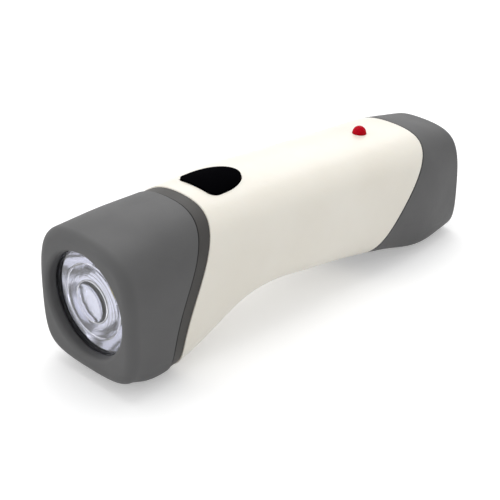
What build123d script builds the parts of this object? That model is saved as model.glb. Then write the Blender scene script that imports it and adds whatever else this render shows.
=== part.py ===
from build123d import *
import math
import os

os.makedirs("parts", exist_ok=True)

# Hand crank flashlight. The lens faces -Y, +Z is up, the crank is on the -X side.
# x = 0 is the body's middle plane, z = 0 the surface it rests on, y = 0 half its length.
# Places along the body are given from the front face and turned into y by from_front().

# ---- body form, mm -------------------------------------------------------------------
body_length = 165.0
station_y = [0.0, 18.0, 38.0, 52.0, 66.0, 84.0, 104.0, 124.0, 144.0, body_length]
half_width = [23.3, 22.0, 20.6, 20.7, 21.4, 21.4, 21.4, 21.7, 21.4, 18.0]
crest_z = [51.2, 52.9, 52.9, 52.7, 52.2, 50.6, 48.8, 46.8, 45.0, 41.2]
belly_z = [3.0, -0.5, 4.6, 11.4, 13.9, 11.5, 8.5, 4.6, -0.3, 0.8]
fullness_y = [0.0, 80.0, body_length]
crest_fullness = [0.80, 0.74, 0.83]
belly_fullness = [0.90, 0.85, 0.95]
section_pitch = 9.0
front_round = 3.5
tail_round = 2.5
wall = 1.8
end_wall = 3.4
reach = 60.0

# seam lines in the side view: (from the front, height)
bezel_seam = [(19.5, -8), (18.8, 2), (19.0, 13), (22.5, 25), (29.0, 37.5), (35.0, 50), (38.5, 58)]
collar_seam = [(24.0, -8), (23.6, 2), (24.0, 13), (28.3, 25), (34.6, 37.5), (40.5, 50), (44.0, 58)]
tail_seam = [(98.0, -8), (107.0, 2), (118.6, 13), (129.7, 25), (140.3, 37.5), (151.0, 50), (158.0, 58)]
gasket_thick = 0.8
gasket_sink = 0.8
collar_sink = 0.35
bezel_seam_span = (12, 46)
collar_span = (12, 52)
tail_seam_span = (96, 158)
tongue_length = 2.5
tongue_thick = 1.2
shell_gap = 0.15

# ---- clearances ----------------------------------------------------------------------
seat_gap = 0.3
end_gap = 0.2
face_gap = 0.1
hole_gap = 0.1
running_gap = 0.05
press_gap = 0.02
screw_end_gap = 0.5

# ---- lamp head -----------------------------------------------------------------------
lens_z = 27.5
opening_radius = 17.9
opening_round = 1.6
lens_radius = 19.3
lens_thick = 1.8
head_bore = 19.6
head_tube = 21.2
head_tube_length = 9.0
ring_section = 0.7
ring_inset = 1.2
flange_thick = 1.2
cup_radius = 17.0
cup_depth = 16.5
cup_wall = 1.2
cup_hole = 3.6
cup_to_board = 0.7
retainer_thick = 2.2
retainer_bore = 17.9
board_thick = 1.6
lamp_board_radius = 9.0
lamp_base_radius = 3.2
lamp_dome_radius = 2.5
lamp_base_thick = 1.6
lamp_lead_x = 4.0
lamp_lead_rise = 6.5
lead_hole_gap = 0.6
lamp_screw_seat = 1.5
sink_radius = 13.0
sink_thick = 5.5
sink_slot_depth = 3.0
sink_slot_count = 12
sink_slot_radius = 11.5
sink_slot_long = 5.0
sink_slot_wide = 1.8
lamp_screw_x = 6.5
lamp_screw_radius = 0.9
lamp_screw_head = 1.7
lamp_screw_head_thick = 1.0

# ---- crank, its recess and its side cover --------------------------------------------
hub_place = (83.0, 31.0)
recess_x = -16.0
parting_x = -15.4
floor_thick = 1.8
recess_radius = 38.3
recess_wall = 1.5
arm_thick = 5.3
arm_hub_radius = 8.5
arm_reach = 37.7
arm_end_length = 10.0
arm_end_corner = 2.5
arm_edge_round = 0.8
arm_socket = 2.7
screw_recess = 1.7
rail = 2.0
knob_radius = 3.3
knob_length = 17.9
fold_reach = 32.5
fold_pin_radius = 0.97
pivot_radius = 3.0
pivot_neck_radius = 2.6
pivot_to_knob = 0.7
spindle_radius = 1.5
spindle_head_radius = 2.2
spindle_head = 1.0
spindle_grip = 1.6
spindle_sink = 0.4
knob_end_round = 0.6
flute_count = 10
flute_radius = 0.5
flute_stand = 0.15
slot_start = 10.3
slot_end_web = 1.6
slot_corner = 0.8
hex_flats = 4.3
shaft_radius = 2.5
shaft_tip_radius = 1.5
bush_radius = 4.0
bush_length = 3.0
bush_wall = 1.5
crank_screw_radius = 1.1
crank_screw_depth = 5.0
crank_screw_head = 2.5
crank_screw_head_thick = 1.0
hub_cap_radius = 3.05
hub_cap_thick = 0.6

# ---- gear train ----------------------------------------------------------------------
gear_module = 0.6
pressure_angle = 25.0
backlash = 0.12
dedendum = 1.25
flank_points = 4
big_teeth = 42
small_teeth = 12
gear_spacing = gear_module * (big_teeth + small_teeth) / 2
idler_place = (hub_place[0] - gear_spacing, hub_place[1])
generator_place = (idler_place[0] - gear_spacing, hub_place[1])
crank_gear_width = 2.8
idler_gear_width = 2.4
crank_gear_stand = 1.5
crank_gear_boss = 0.9
idler_stand = 1.2
idler_boss = 1.1
gear_side_gap = 0.5
pinion_width = 3.4
pinion_lead = 0.4
plate_stand = 1.4
plate_thick = 1.6
axle_radius = 1.5
axle_sink = 1.0
axle_wall = 2.0

# ---- generator -----------------------------------------------------------------------
can_radius = 12.0
can_length = 12.4
can_wall = 0.8
magnet_thick = 1.0
magnet_end_room = 2.0
magnet_split = 6.0
rotor_stand = 3.6
rotor_radius = 9.5
rotor_length = 5.6
rotor_poles = 3
rotor_rim = 1.8
rotor_hub = 2.6
rotor_neck = 2.2
rotor_slot = 1.8
winding_start = 0.6
winding_thick = 1.5
winding_depth = 3.6
winding_overhang = 1.1
commutator_radius = 2.3
commutator_length = 1.6
brush_size = (0.8, 1.6, 0.4)
brush_gap = 0.15
end_cap_thick = 1.2
end_cap_plug = 1.0
nose_bush = 2.3
nose_bush_stand = 0.4
motor_shaft_radius = 1.0
motor_shaft_tail = 0.5
nose_radius = 3.4
nose_length = 1.2
generator_screw_offset = 8.0

# ---- power button --------------------------------------------------------------------
button_front = 48.1
button_length = 18.3
button_half_wide = 8.8
button_straight = 5.4
button_corner = 2.8
button_span = (36, 76)
button_proud = 0.7
button_gap = 0.25
button_wall = 1.4
button_travel = 0.8
button_core_z = 50.9
tact_y = 57.0
plunger_length = 1.8
button_stem_radius = 2.2
button_flange_z = 48.2
button_flange_thick = 0.9
button_flange_wide = 1.0

# ---- boards --------------------------------------------------------------------------
control_board_z = 45.0
control_board_thick = 1.0
control_board_start = 45.4
control_board_length = 25.2
control_board_width = 27.0
board_corner = 1.5
post_radius = 1.7
board_post_places = [(-11.5, 47.4), (11.5, 47.4), (-11.5, 68.6), (11.5, 68.6)]
tact_side = 6.0
tact_corner = 0.4
tact_height = 3.3
plunger_radius = 1.7
indicator_y = 128.0
indicator_radius = 2.5
indicator_flange = 2.9
indicator_flange_thick = 1.0
indicator_seat_room = 0.8
indicator_pin_x = 1.27
indicator_pin_radius = 0.25
indicator_stand = 2.7
indicator_board_z = 37.6
indicator_post_x = 7.0
board_screw_radius = 0.8
board_screw_head = 1.6
board_screw_head_thick = 0.9
board_screw_length = 3.2
indicator_board_length = 10.8
indicator_board_margin = 2.2
indicator_board_corner = 1.0
diode_x = 11.9
diode_radius = 0.9
diode_length = 4.2
diode_places = [51.5, 59.0]
capacitor_place = (6.5, 67.2)
capacitor_radius = 3.0
capacitor_height = 6.2
capacitor_round = 0.5
chip_place = (3.5, 56.0)
chip_size = (4.0, 5.0, 1.5)

# ---- batteries -----------------------------------------------------------------------
cell_radius = 7.6
cell_length = 5.9
cell_count = 3
sleeve_thick = 0.3
sleeve_lip = 0.4
sleeve_lip_wide = 1.5
battery_start = 101.0
battery_z = 30.0
strap_thick = 1.2
strap_width = 6.0
strap_foot = 2.2
strap_gap = 0.2
strap_screw_places = [(114.0, 19.0), (114.0, 41.0)]

# ---- screws that close the casing ----------------------------------------------------
cover_screw_places = [(42.4, 43.9), (40.0, 17.0), (108.0, 18.0), (124.0, 28.0)]
cover_screw_radius = 1.1
cover_screw_depth = 8.0
cover_screw_head = 2.2
cover_screw_head_thick = 1.1
cover_seat_x = -14.7
pad_radius = 3.6
pad_x = -13.2
long_boss_radius = 2.2
boss_room = 0.5
gearbox_post_places = [(55.0, 42.5), (55.0, 19.7), (97.0, 41.0), (97.0, 19.0)]
gearbox_post_radius = 2.2
gearbox_screw_radius = 1.0
gearbox_screw_depth = 5.0
gearbox_screw_head = 1.9
gearbox_screw_head_thick = 1.0
gearbox_screw_length = 5.0
plate_start = 46.0
plate_stop = 119.0
plate_low = 16.5
plate_high = 43.5
plate_corner = 3.0

# ---- wires ---------------------------------------------------------------------------
wire_radius = 0.55
wire_bend = 2.0
wire_gap = 0.2
generator_lead_pitch = 3.2
generator_lead_rise = 6.0
generator_lead_reach = 2.6
battery_lead_places = (-1.2, 1.4)
indicator_lead_places = (1.2, 3.8)

# ---- places worked out from the sizes above ------------------------------------------
floor_x = recess_x + floor_thick
crank_gear_x = floor_x + crank_gear_stand
crank_gear_end = crank_gear_x + crank_gear_width
idler_x = floor_x + idler_stand
idler_gear_x = crank_gear_end + gear_side_gap
idler_gear_end = idler_gear_x + idler_gear_width
plate_x = idler_gear_end + plate_stand
plate_end = plate_x + plate_thick
post_seat_x = plate_end - gearbox_screw_head_thick - running_gap
arm_x = recess_x - seat_gap
arm_top_x = arm_x - arm_thick
knob_x = arm_x - knob_radius
slot_half = knob_radius + seat_gap
board_top = control_board_z + control_board_thick
tact_top = board_top + tact_height
plunger_top = tact_top + button_travel + end_gap
arm_half = slot_half + rail
lens_y = end_wall + face_gap
ring_y = lens_y + lens_thick + ring_section + face_gap
flange_y = ring_y + ring_section + face_gap
retainer_y = flange_y + flange_thick + face_gap
lamp_board_y = flange_y + cup_depth + cup_to_board
sink_y = lamp_board_y + board_thick + face_gap


def from_front(y):
    """y of a place given as its distance behind the front face."""
    return y - body_length / 2


def spot(place):
    """Sketch point on a side-view plane for a (from the front, height) place."""
    return (from_front(place[0]), place[1])


def smooth(places, values, y):
    """Value at y: a cubic through the listed places, each slope the mean of its two sides."""
    spans = range(len(places) - 1)
    k = max(i for i in spans if places[i] <= y or i == 0)
    slopes = [(values[i + 1] - values[i]) / (places[i + 1] - places[i]) for i in spans]

    def slope_at(i):
        if i == 0:
            return slopes[0]
        if i == len(slopes):
            return slopes[-1]
        return (slopes[i - 1] + slopes[i]) / 2

    step = places[k + 1] - places[k]
    t = (y - places[k]) / step
    near = (2 * t**3 - 3 * t**2 + 1) * values[k] + (t**3 - 2 * t**2 + t) * step * slope_at(k)
    far = (3 * t**2 - 2 * t**3) * values[k + 1] + (t**3 - t**2) * step * slope_at(k + 1)
    return near + far


def crest(y):
    """Height of the body's top line at y behind the front face."""
    return smooth(station_y, crest_z, y)


def quarters(y, inset):
    """Control points of the four quarter curves of the body's section."""
    wide = smooth(station_y, half_width, y) - inset
    middle = (crest(y) + smooth(station_y, belly_z, y)) / 2
    tall = crest(y) - middle - inset
    curves = []
    for across, up, fullness in ((1, 1, crest_fullness), (-1, 1, crest_fullness),
                                 (-1, -1, belly_fullness), (1, -1, belly_fullness)):
        full = smooth(fullness_y, fullness, y)
        x, z = across * wide, up * tall
        curve = [(x, middle), (x, middle + full * z), (full * x, middle + z), (0, middle + z)]
        curves.append(curve if across == up else curve[::-1])
    return curves


def form(inset, start, end):
    """Body form, drawn in by the inset, from one distance behind the front to another."""
    count = max(2, round((end - start) / section_pitch))
    with BuildPart() as solid:
        for k in range(count + 1):
            y = start + (end - start) * k / count
            with BuildSketch(Plane.XZ.offset(-from_front(y))):
                with BuildLine():
                    for curve in quarters(y, inset):
                        Bezier(*curve)
                make_face()
        loft()
    return solid.part


def behind(seam, shift):
    """Block of all that lies behind a seam line, moved back by the shift."""
    line = [(from_front(y) + shift, z) for y, z in seam]
    with BuildPart() as block:
        with BuildSketch(Plane.YZ):
            with BuildLine():
                Spline(*line)
                Polyline(line[-1], (body_length, line[-1][1]), (body_length, line[0][1]), line[0])
            make_face()
        extrude(amount=reach, both=True)
    return block.part


def bar(place, start, end, radius, mode=Mode.ADD):
    """Round bar along X between two x places."""
    with BuildSketch(Plane.YZ.offset(start)) as disc:
        with Locations(spot(place)):
            Circle(radius)
    extrude(disc.sketch, amount=end - start, mode=mode)


def lamp_bar(start, end, radius, mode=Mode.ADD, x=0.0, z=0.0):
    """Round bar along Y, its ends given from the front, beside or on the lamp's axis."""
    with BuildSketch(Plane.XZ.offset(-from_front(start))) as disc:
        with Locations((x, lens_z + z)):
            Circle(radius)
    extrude(disc.sketch, amount=start - end, mode=mode)


def upright(x, y, start, end, radius, mode=Mode.ADD):
    """Round bar along Z, at x and at y behind the front, between two heights."""
    with BuildSketch(Plane.XY.offset(start)) as disc:
        with Locations((x, from_front(y))):
            Circle(radius)
    extrude(disc.sketch, amount=end - start, mode=mode)


def save(piece, name):
    """Label a finished piece and write it under its name."""
    piece.label = name
    export_step(piece, f"parts/{name}.step")


# ---- shared solids: the outer form, the hollow in it and the skin between them -------
with BuildPart() as outer:
    add(form(0, 0, body_length))
    fillet(faces().sort_by(Axis.Y)[0].edges(), front_round)
    fillet(faces().sort_by(Axis.Y)[-1].edges(), tail_round)
    split(bisect_by=Plane.XY, keep=Keep.TOP)

hollow = form(wall, end_wall, body_length - wall)
lining = form(wall + shell_gap, end_wall, body_length - wall)
sleeve_core = form(wall + shell_gap + tongue_thick, end_wall, body_length - wall)

with BuildPart() as skin:
    add(outer.part)
    add(hollow, mode=Mode.SUBTRACT)

with BuildPart() as tongue_stock:
    add(lining)
    add(sleeve_core, mode=Mode.SUBTRACT)

behind_bezel = behind(bezel_seam, 0)
behind_gasket = behind(bezel_seam, gasket_thick)
behind_collar = behind(collar_seam, 0)
behind_casing = behind(tail_seam, 0)
behind_tail_gasket = behind(tail_seam, gasket_thick)

# ---- front bezel: grey moulding with the lens opening and a tube for the lamp --------
with BuildPart() as lamp_tube:
    lamp_bar(end_wall, end_wall + head_tube_length, head_tube)
    lamp_bar(end_wall, end_wall + head_tube_length, head_bore, Mode.SUBTRACT)
    add(outer.part, mode=Mode.INTERSECT)

with BuildPart() as front_bezel:
    add(skin.part)
    add(behind_bezel, mode=Mode.SUBTRACT)
    add(lamp_tube.part)
    lamp_bar(0, end_wall, opening_radius, Mode.SUBTRACT)
    mouth = edges().filter_by(GeomType.CIRCLE).sort_by(Axis.Y)[0]
    fillet(mouth, opening_round)
save(front_bezel.part, "front_bezel")

# ---- bezel gasket: thin black ring between bezel and collar --------------------------
with BuildPart() as bezel_gasket:
    add(form(gasket_sink, *bezel_seam_span))
    add(behind_bezel, mode=Mode.INTERSECT)
    add(behind_gasket, mode=Mode.SUBTRACT)
    add(hollow, mode=Mode.SUBTRACT)
save(bezel_gasket.part, "bezel_gasket")

# ---- head collar: grey band with a tongue into bezel and casing ----------------------
with BuildPart() as collar_tongue:
    add(tongue_stock.part)
    add(behind(bezel_seam, -tongue_length), mode=Mode.INTERSECT)
    add(behind(collar_seam, tongue_length), mode=Mode.SUBTRACT)
    for place in cover_screw_places:
        bar(place, -reach, reach, pad_radius + seat_gap, Mode.SUBTRACT)

with BuildPart() as head_collar:
    add(form(collar_sink, *collar_span))
    add(behind_gasket, mode=Mode.INTERSECT)
    add(behind_collar, mode=Mode.SUBTRACT)
    add(sleeve_core, mode=Mode.SUBTRACT)
    add(collar_tongue.part)
save(head_collar.part, "head_collar")

# ---- tail gasket and tail cap: the cap is closed behind and has a tongue forward -----
with BuildPart() as tail_gasket:
    add(form(gasket_sink, *tail_seam_span))
    add(behind_casing, mode=Mode.INTERSECT)
    add(behind_tail_gasket, mode=Mode.SUBTRACT)
    add(hollow, mode=Mode.SUBTRACT)
    split(bisect_by=Plane.XY, keep=Keep.TOP)
save(tail_gasket.part, "tail_gasket")

with BuildPart() as tail_tongue:
    add(tongue_stock.part)
    add(behind(tail_seam, -tongue_length), mode=Mode.INTERSECT)
    add(behind(tail_seam, gasket_thick + tongue_length), mode=Mode.SUBTRACT)
    bar(hub_place, -reach, 0, recess_radius + recess_wall + seat_gap, Mode.SUBTRACT)

with BuildPart() as tail_root:
    add(outer.part)
    add(sleeve_core, mode=Mode.SUBTRACT)
    add(behind_tail_gasket, mode=Mode.INTERSECT)
    add(behind(tail_seam, gasket_thick + tongue_length), mode=Mode.SUBTRACT)

with BuildPart() as tail_cap:
    add(skin.part)
    add(behind_tail_gasket, mode=Mode.INTERSECT)
    add(tail_root.part)
    add(tail_tongue.part)
save(tail_cap.part, "tail_cap")

# ---- body casing: cream shell, open on the crank side, with long screw bosses --------
with BuildPart() as casing_bosses:
    for place in cover_screw_places:
        bar(place, pad_x + face_gap, reach, long_boss_radius)
    add(outer.part, mode=Mode.INTERSECT)

with BuildPart() as casing_posts:
    for x, y in board_post_places:
        upright(x, y, control_board_z + control_board_thick, reach, post_radius)
    for x in (-indicator_post_x, indicator_post_x):
        upright(x, indicator_y, indicator_board_z + control_board_thick, reach, post_radius)
    add(outer.part, mode=Mode.INTERSECT)


def button_plan(grow):
    """Power button's plan, grown on all sides: straight front and sides, elliptic rear."""
    half = button_half_wide + grow
    near = from_front(button_front) - grow
    middle = from_front(button_front) + button_straight
    with BuildSketch(Plane.XY.offset(control_board_z)) as plan:
        with Locations((0, middle)):
            Ellipse(half, button_length - button_straight + grow)
        with Locations((0, middle - reach / 2)):
            Rectangle(reach, reach, mode=Mode.SUBTRACT)
        with Locations((0, (near + middle) / 2)):
            Rectangle(2 * half, middle - near)
        fillet(plan.vertices().group_by(Axis.Y)[0], button_corner + grow)
    return plan.sketch


with BuildPart() as body_casing:
    add(skin.part)
    add(behind_collar, mode=Mode.INTERSECT)
    add(behind_casing, mode=Mode.SUBTRACT)
    split(bisect_by=Plane.YZ.offset(parting_x), keep=Keep.TOP)
    add(casing_bosses.part)
    add(casing_posts.part)
    extrude(button_plan(button_gap), amount=reach, mode=Mode.SUBTRACT)
    upright(0, indicator_y, indicator_board_z + control_board_thick, reach,
            indicator_radius + seat_gap / 2, Mode.SUBTRACT)
    for place in cover_screw_places:
        bar(place, -reach, cover_seat_x, cover_screw_head + seat_gap, Mode.SUBTRACT)
        bar(place, pad_x, pad_x + cover_screw_depth, cover_screw_radius + running_gap, Mode.SUBTRACT)
    for x, y in board_post_places:
        upright(x, y, control_board_z, control_board_z + board_screw_length,
                board_screw_radius + running_gap, Mode.SUBTRACT)
    for x in (-indicator_post_x, indicator_post_x):
        upright(x, indicator_y, indicator_board_z, indicator_board_z + board_screw_length,
                board_screw_radius + running_gap, Mode.SUBTRACT)
save(body_casing.part, "body_casing")

# ---- crank cover: cream side cover with the crank's recess, posts and screw pads -----
with BuildPart() as cover_works:
    bar(hub_place, -reach, floor_x, recess_radius + recess_wall)
    bar(hub_place, floor_x, recess_x + bush_length, bush_radius + bush_wall)
    bar(idler_place, floor_x, idler_x - seat_gap, axle_radius + axle_wall)
    for place in cover_screw_places:
        bar(place, -reach, pad_x, pad_radius)
    for place in gearbox_post_places:
        bar(place, floor_x, plate_x, gearbox_post_radius)

with BuildPart() as cover_outside:
    add(cover_works.part)
    add(skin.part)
    add(outer.part, mode=Mode.INTERSECT)
    split(bisect_by=Plane.YZ.offset(parting_x), keep=Keep.BOTTOM)

with BuildPart() as cover_inside:
    add(cover_works.part)
    add(lining, mode=Mode.INTERSECT)

with BuildPart() as crank_cover:
    add(cover_outside.part)
    add(cover_inside.part)
    add(behind_collar, mode=Mode.INTERSECT)
    add(behind_casing, mode=Mode.SUBTRACT)
    bar(hub_place, -reach, recess_x, recess_radius, Mode.SUBTRACT)
    bar(hub_place, recess_x, 0, bush_radius + press_gap, Mode.SUBTRACT)
    bar(idler_place, floor_x - axle_sink, idler_x, axle_radius + press_gap, Mode.SUBTRACT)
    for place in cover_screw_places:
        bar(place, -reach, cover_seat_x, cover_screw_head + seat_gap, Mode.SUBTRACT)
        bar(place, cover_seat_x, pad_x, cover_screw_radius + hole_gap, Mode.SUBTRACT)
    for place in gearbox_post_places:
        bar(place, plate_x - gearbox_screw_depth, plate_x,
            gearbox_screw_radius + running_gap, Mode.SUBTRACT)
save(crank_cover.part, "crank_cover")

# ---- lens, its sealing ring, reflector and the ring that holds them ------------------
lamp_axis = Axis((0, 0, lens_z), (0, 1, 0))

with BuildPart() as lens:
    lamp_bar(lens_y, lens_y + lens_thick, lens_radius)
save(lens.part, "lens")

with BuildPart() as lens_ring:
    with BuildSketch(Plane.YZ):
        with Locations((from_front(ring_y), lens_z + lens_radius - ring_inset)):
            Circle(ring_section)
    revolve(axis=lamp_axis)
save(lens_ring.part, "lens_ring")


def bowl(rim, hole):
    """Solid paraboloid from the reflector's rim radius down to its hole radius."""
    front, back = from_front(flange_y), from_front(flange_y + cup_depth)
    bend = (front + cup_depth * rim / (rim + hole), lens_z + (rim + hole) / 2)
    with BuildPart() as solid:
        with BuildSketch(Plane.YZ):
            with BuildLine():
                Bezier((front, lens_z + rim), bend, (back, lens_z + hole))
                Polyline((back, lens_z + hole), (back, lens_z), (front, lens_z), (front, lens_z + rim))
            make_face()
        revolve(axis=lamp_axis)
    return solid.part


with BuildPart() as reflector:
    add(bowl(cup_radius + cup_wall, cup_hole + cup_wall))
    lamp_bar(flange_y, flange_y + flange_thick, lens_radius)
    lamp_bar(flange_y + cup_depth - cup_wall, lamp_board_y - face_gap, lamp_board_radius)
    add(bowl(cup_radius, cup_hole), mode=Mode.SUBTRACT)
    lamp_bar(flange_y + cup_depth - face_gap, lamp_board_y, cup_hole, Mode.SUBTRACT)
    for x in (-lamp_screw_x, lamp_screw_x):
        lamp_bar(lamp_board_y - cup_wall, lamp_board_y, lamp_screw_radius + press_gap, Mode.SUBTRACT, x)
save(reflector.part, "reflector")

with BuildPart() as reflector_retainer:
    lamp_bar(retainer_y, retainer_y + retainer_thick, head_bore - shell_gap)
    lamp_bar(retainer_y, retainer_y + retainer_thick, retainer_bore, Mode.SUBTRACT)
save(reflector_retainer.part, "reflector_retainer")

# ---- lamp: domed emitter on its round board, with a finned heat sink -----------------
with BuildPart() as lamp_emitter:
    lamp_bar(lamp_board_y - lamp_base_thick, lamp_board_y, lamp_base_radius)
    with Locations((0, from_front(lamp_board_y - lamp_base_thick), lens_z)):
        Sphere(lamp_dome_radius)
    lamp_bar(lamp_board_y, lamp_board_y + lamp_dome_radius, lamp_base_radius, Mode.SUBTRACT)
save(lamp_emitter.part, "lamp_emitter")

with BuildPart() as lamp_board:
    lamp_bar(lamp_board_y, lamp_board_y + board_thick, lamp_board_radius)
    for x in (-lamp_screw_x, lamp_screw_x):
        lamp_bar(lamp_board_y, lamp_board_y + board_thick, lamp_screw_radius + hole_gap, Mode.SUBTRACT, x)
save(lamp_board.part, "lamp_board")

with BuildPart() as heat_sink:
    lamp_bar(sink_y, sink_y + sink_thick, sink_radius)
    with BuildSketch(Plane.XZ.offset(-from_front(sink_y + sink_thick))) as slots:
        with Locations((0, lens_z)):
            with PolarLocations(sink_slot_radius, sink_slot_count, start_angle=180 / sink_slot_count):
                Rectangle(sink_slot_long, sink_slot_wide)
    extrude(slots.sketch, amount=sink_slot_depth, mode=Mode.SUBTRACT)
    for x in (-lamp_screw_x, lamp_screw_x):
        lamp_bar(sink_y, sink_y + sink_thick, lamp_screw_radius + hole_gap, Mode.SUBTRACT, x)
        lamp_bar(sink_y + lamp_screw_seat, sink_y + sink_thick, lamp_screw_head + seat_gap, Mode.SUBTRACT, x)
    for x in (-lamp_lead_x, lamp_lead_x):
        lamp_bar(sink_y, sink_y + sink_thick, wire_radius + lead_hole_gap, Mode.SUBTRACT, x, lamp_lead_rise)
save(heat_sink.part, "heat_sink")

with BuildPart() as lamp_screws:
    for x in (-lamp_screw_x, lamp_screw_x):
        seat = sink_y + lamp_screw_seat
        lamp_bar(lamp_board_y - cup_wall + end_gap, seat, lamp_screw_radius, x=x)
        lamp_bar(seat, seat + lamp_screw_head_thick, lamp_screw_head, x=x)
save(lamp_screws.part, "lamp_screws")

# ---- power button: crowned like the body, hollow, with a flange that keeps it in -----
with BuildPart() as button_skin:
    extrude(button_plan(0), amount=reach)
    add(form(-button_proud, *button_span), mode=Mode.INTERSECT)

with BuildPart() as switch_button:
    add(button_skin.part)
    with BuildSketch(Plane.XY.offset(button_flange_z)) as flange:
        add(button_plan(button_flange_wide))
    extrude(flange.sketch, amount=button_flange_thick)
    split(bisect_by=Plane.XY.offset(button_flange_z), keep=Keep.TOP)
    with BuildSketch(Plane.XY.offset(button_flange_z)) as core:
        add(button_plan(-button_wall))
    extrude(core.sketch, amount=button_core_z - button_flange_z, mode=Mode.SUBTRACT)
    upright(0, tact_y, plunger_top, button_core_z, button_stem_radius)
save(switch_button.part, "switch_button")

with BuildPart() as tact_switch:
    with BuildSketch(Plane.XY.offset(board_top)):
        with Locations((0, from_front(tact_y))):
            RectangleRounded(tact_side, tact_side, tact_corner)
    extrude(amount=tact_height)
    upright(0, tact_y, plunger_top - plunger_length - button_travel - end_gap, plunger_top,
            plunger_radius + running_gap, Mode.SUBTRACT)
save(tact_switch.part, "tact_switch")

with BuildPart() as tact_plunger:
    upright(0, tact_y, plunger_top - plunger_length, plunger_top, plunger_radius)
save(tact_plunger.part, "tact_plunger")

# ---- control board and what is soldered to it ----------------------------------------
board_middle = from_front(control_board_start + control_board_length / 2)

with BuildPart() as control_board:
    with BuildSketch(Plane.XY.offset(control_board_z)):
        with Locations((0, board_middle)):
            RectangleRounded(control_board_width, control_board_length, board_corner)
        with Locations([(x, from_front(y)) for x, y in board_post_places]):
            Circle(board_screw_radius + hole_gap, mode=Mode.SUBTRACT)
    extrude(amount=control_board_thick)
save(control_board.part, "control_board")

with BuildPart() as diodes:
    for x in (-diode_x, diode_x):
        for y in diode_places:
            with BuildSketch(Plane.XZ.offset(-from_front(y))):
                with Locations((x, board_top + diode_radius + face_gap)):
                    Circle(diode_radius)
            extrude(amount=-diode_length)
save(diodes.part, "diodes")

with BuildPart() as capacitor:
    upright(capacitor_place[0], capacitor_place[1], control_board_z - capacitor_height,
            control_board_z, capacitor_radius)
    fillet(faces().sort_by(Axis.Z)[0].edges(), capacitor_round)
save(capacitor.part, "capacitor")

with BuildPart() as control_chip:
    with BuildSketch(Plane.XY.offset(control_board_z - chip_size[2])):
        with Locations((chip_place[0], from_front(chip_place[1]))):
            Rectangle(chip_size[0], chip_size[1])
    extrude(amount=chip_size[2])
save(control_chip.part, "control_chip")

# ---- red indicator: domed lamp on its own small board --------------------------------
indicator_top = crest(indicator_y) + indicator_stand
indicator_seat = crest(indicator_y) - wall - indicator_seat_room

with BuildPart() as indicator_lamp:
    upright(0, indicator_y, indicator_seat - indicator_flange_thick, indicator_seat, indicator_flange)
    upright(0, indicator_y, indicator_seat, indicator_top - indicator_radius, indicator_radius)
    with Locations((0, from_front(indicator_y), indicator_top - indicator_radius)):
        Sphere(indicator_radius)
    for x in (-indicator_pin_x, indicator_pin_x):
        upright(x, indicator_y, indicator_board_z + control_board_thick,
                indicator_seat - indicator_flange_thick / 2, indicator_pin_radius)
save(indicator_lamp.part, "indicator_lamp")

with BuildPart() as indicator_board:
    with BuildSketch(Plane.XY.offset(indicator_board_z)):
        with Locations((0, from_front(indicator_y))):
            RectangleRounded(2 * (indicator_post_x + indicator_board_margin), indicator_board_length,
                             indicator_board_corner)
        with Locations([(x, from_front(indicator_y)) for x in (-indicator_post_x, indicator_post_x)]):
            Circle(board_screw_radius + hole_gap, mode=Mode.SUBTRACT)
    extrude(amount=control_board_thick)
save(indicator_board.part, "indicator_board")

with BuildPart() as board_screws:
    seats = [(x, y, control_board_z) for x, y in board_post_places]
    seats += [(x, indicator_y, indicator_board_z) for x in (-indicator_post_x, indicator_post_x)]
    for x, y, z in seats:
        upright(x, y, z - board_screw_head_thick, z, board_screw_head)
        upright(x, y, z, z + board_screw_length, board_screw_radius)
save(board_screws.part, "board_screws")

# ---- gearbox plate and the screws through it -----------------------------------------
with BuildPart() as gearbox_plate:
    with BuildSketch(Plane.YZ.offset(plate_x)):
        with Locations(spot(((plate_start + plate_stop) / 2, (plate_low + plate_high) / 2))):
            RectangleRounded(plate_stop - plate_start, plate_high - plate_low, plate_corner)
        with Locations([spot(place) for place in cover_screw_places]):
            Circle(long_boss_radius + boss_room, mode=Mode.SUBTRACT)
    extrude(amount=plate_thick)
    bar(hub_place, plate_x, plate_end, shaft_tip_radius + running_gap, Mode.SUBTRACT)
    bar(idler_place, plate_x, plate_end, axle_radius + press_gap, Mode.SUBTRACT)
    bar(generator_place, plate_x, plate_end, nose_radius + running_gap, Mode.SUBTRACT)
    for rise in (-generator_screw_offset, generator_screw_offset):
        bar((generator_place[0], generator_place[1] + rise), plate_x, plate_end,
            gearbox_screw_radius + hole_gap, Mode.SUBTRACT)
    for place in gearbox_post_places:
        bar(place, plate_x, plate_end, gearbox_screw_radius + hole_gap, Mode.SUBTRACT)
        bar(place, post_seat_x, plate_end, gearbox_screw_head + hole_gap, Mode.SUBTRACT)
    for place in strap_screw_places:
        bar(place, plate_x, plate_end, gearbox_screw_radius + press_gap, Mode.SUBTRACT)
save(gearbox_plate.part, "gearbox_plate")

with BuildPart() as gearbox_screws:
    for place in gearbox_post_places:
        bar(place, post_seat_x, post_seat_x + gearbox_screw_head_thick, gearbox_screw_head)
        bar(place, post_seat_x - gearbox_screw_length, post_seat_x, gearbox_screw_radius)
    for place in strap_screw_places:
        seat = plate_end + strap_thick
        bar(place, seat, seat + gearbox_screw_head_thick, gearbox_screw_head)
        bar(place, seat - gearbox_screw_length, seat, gearbox_screw_radius)
save(gearbox_screws.part, "gearbox_screws")


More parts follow.
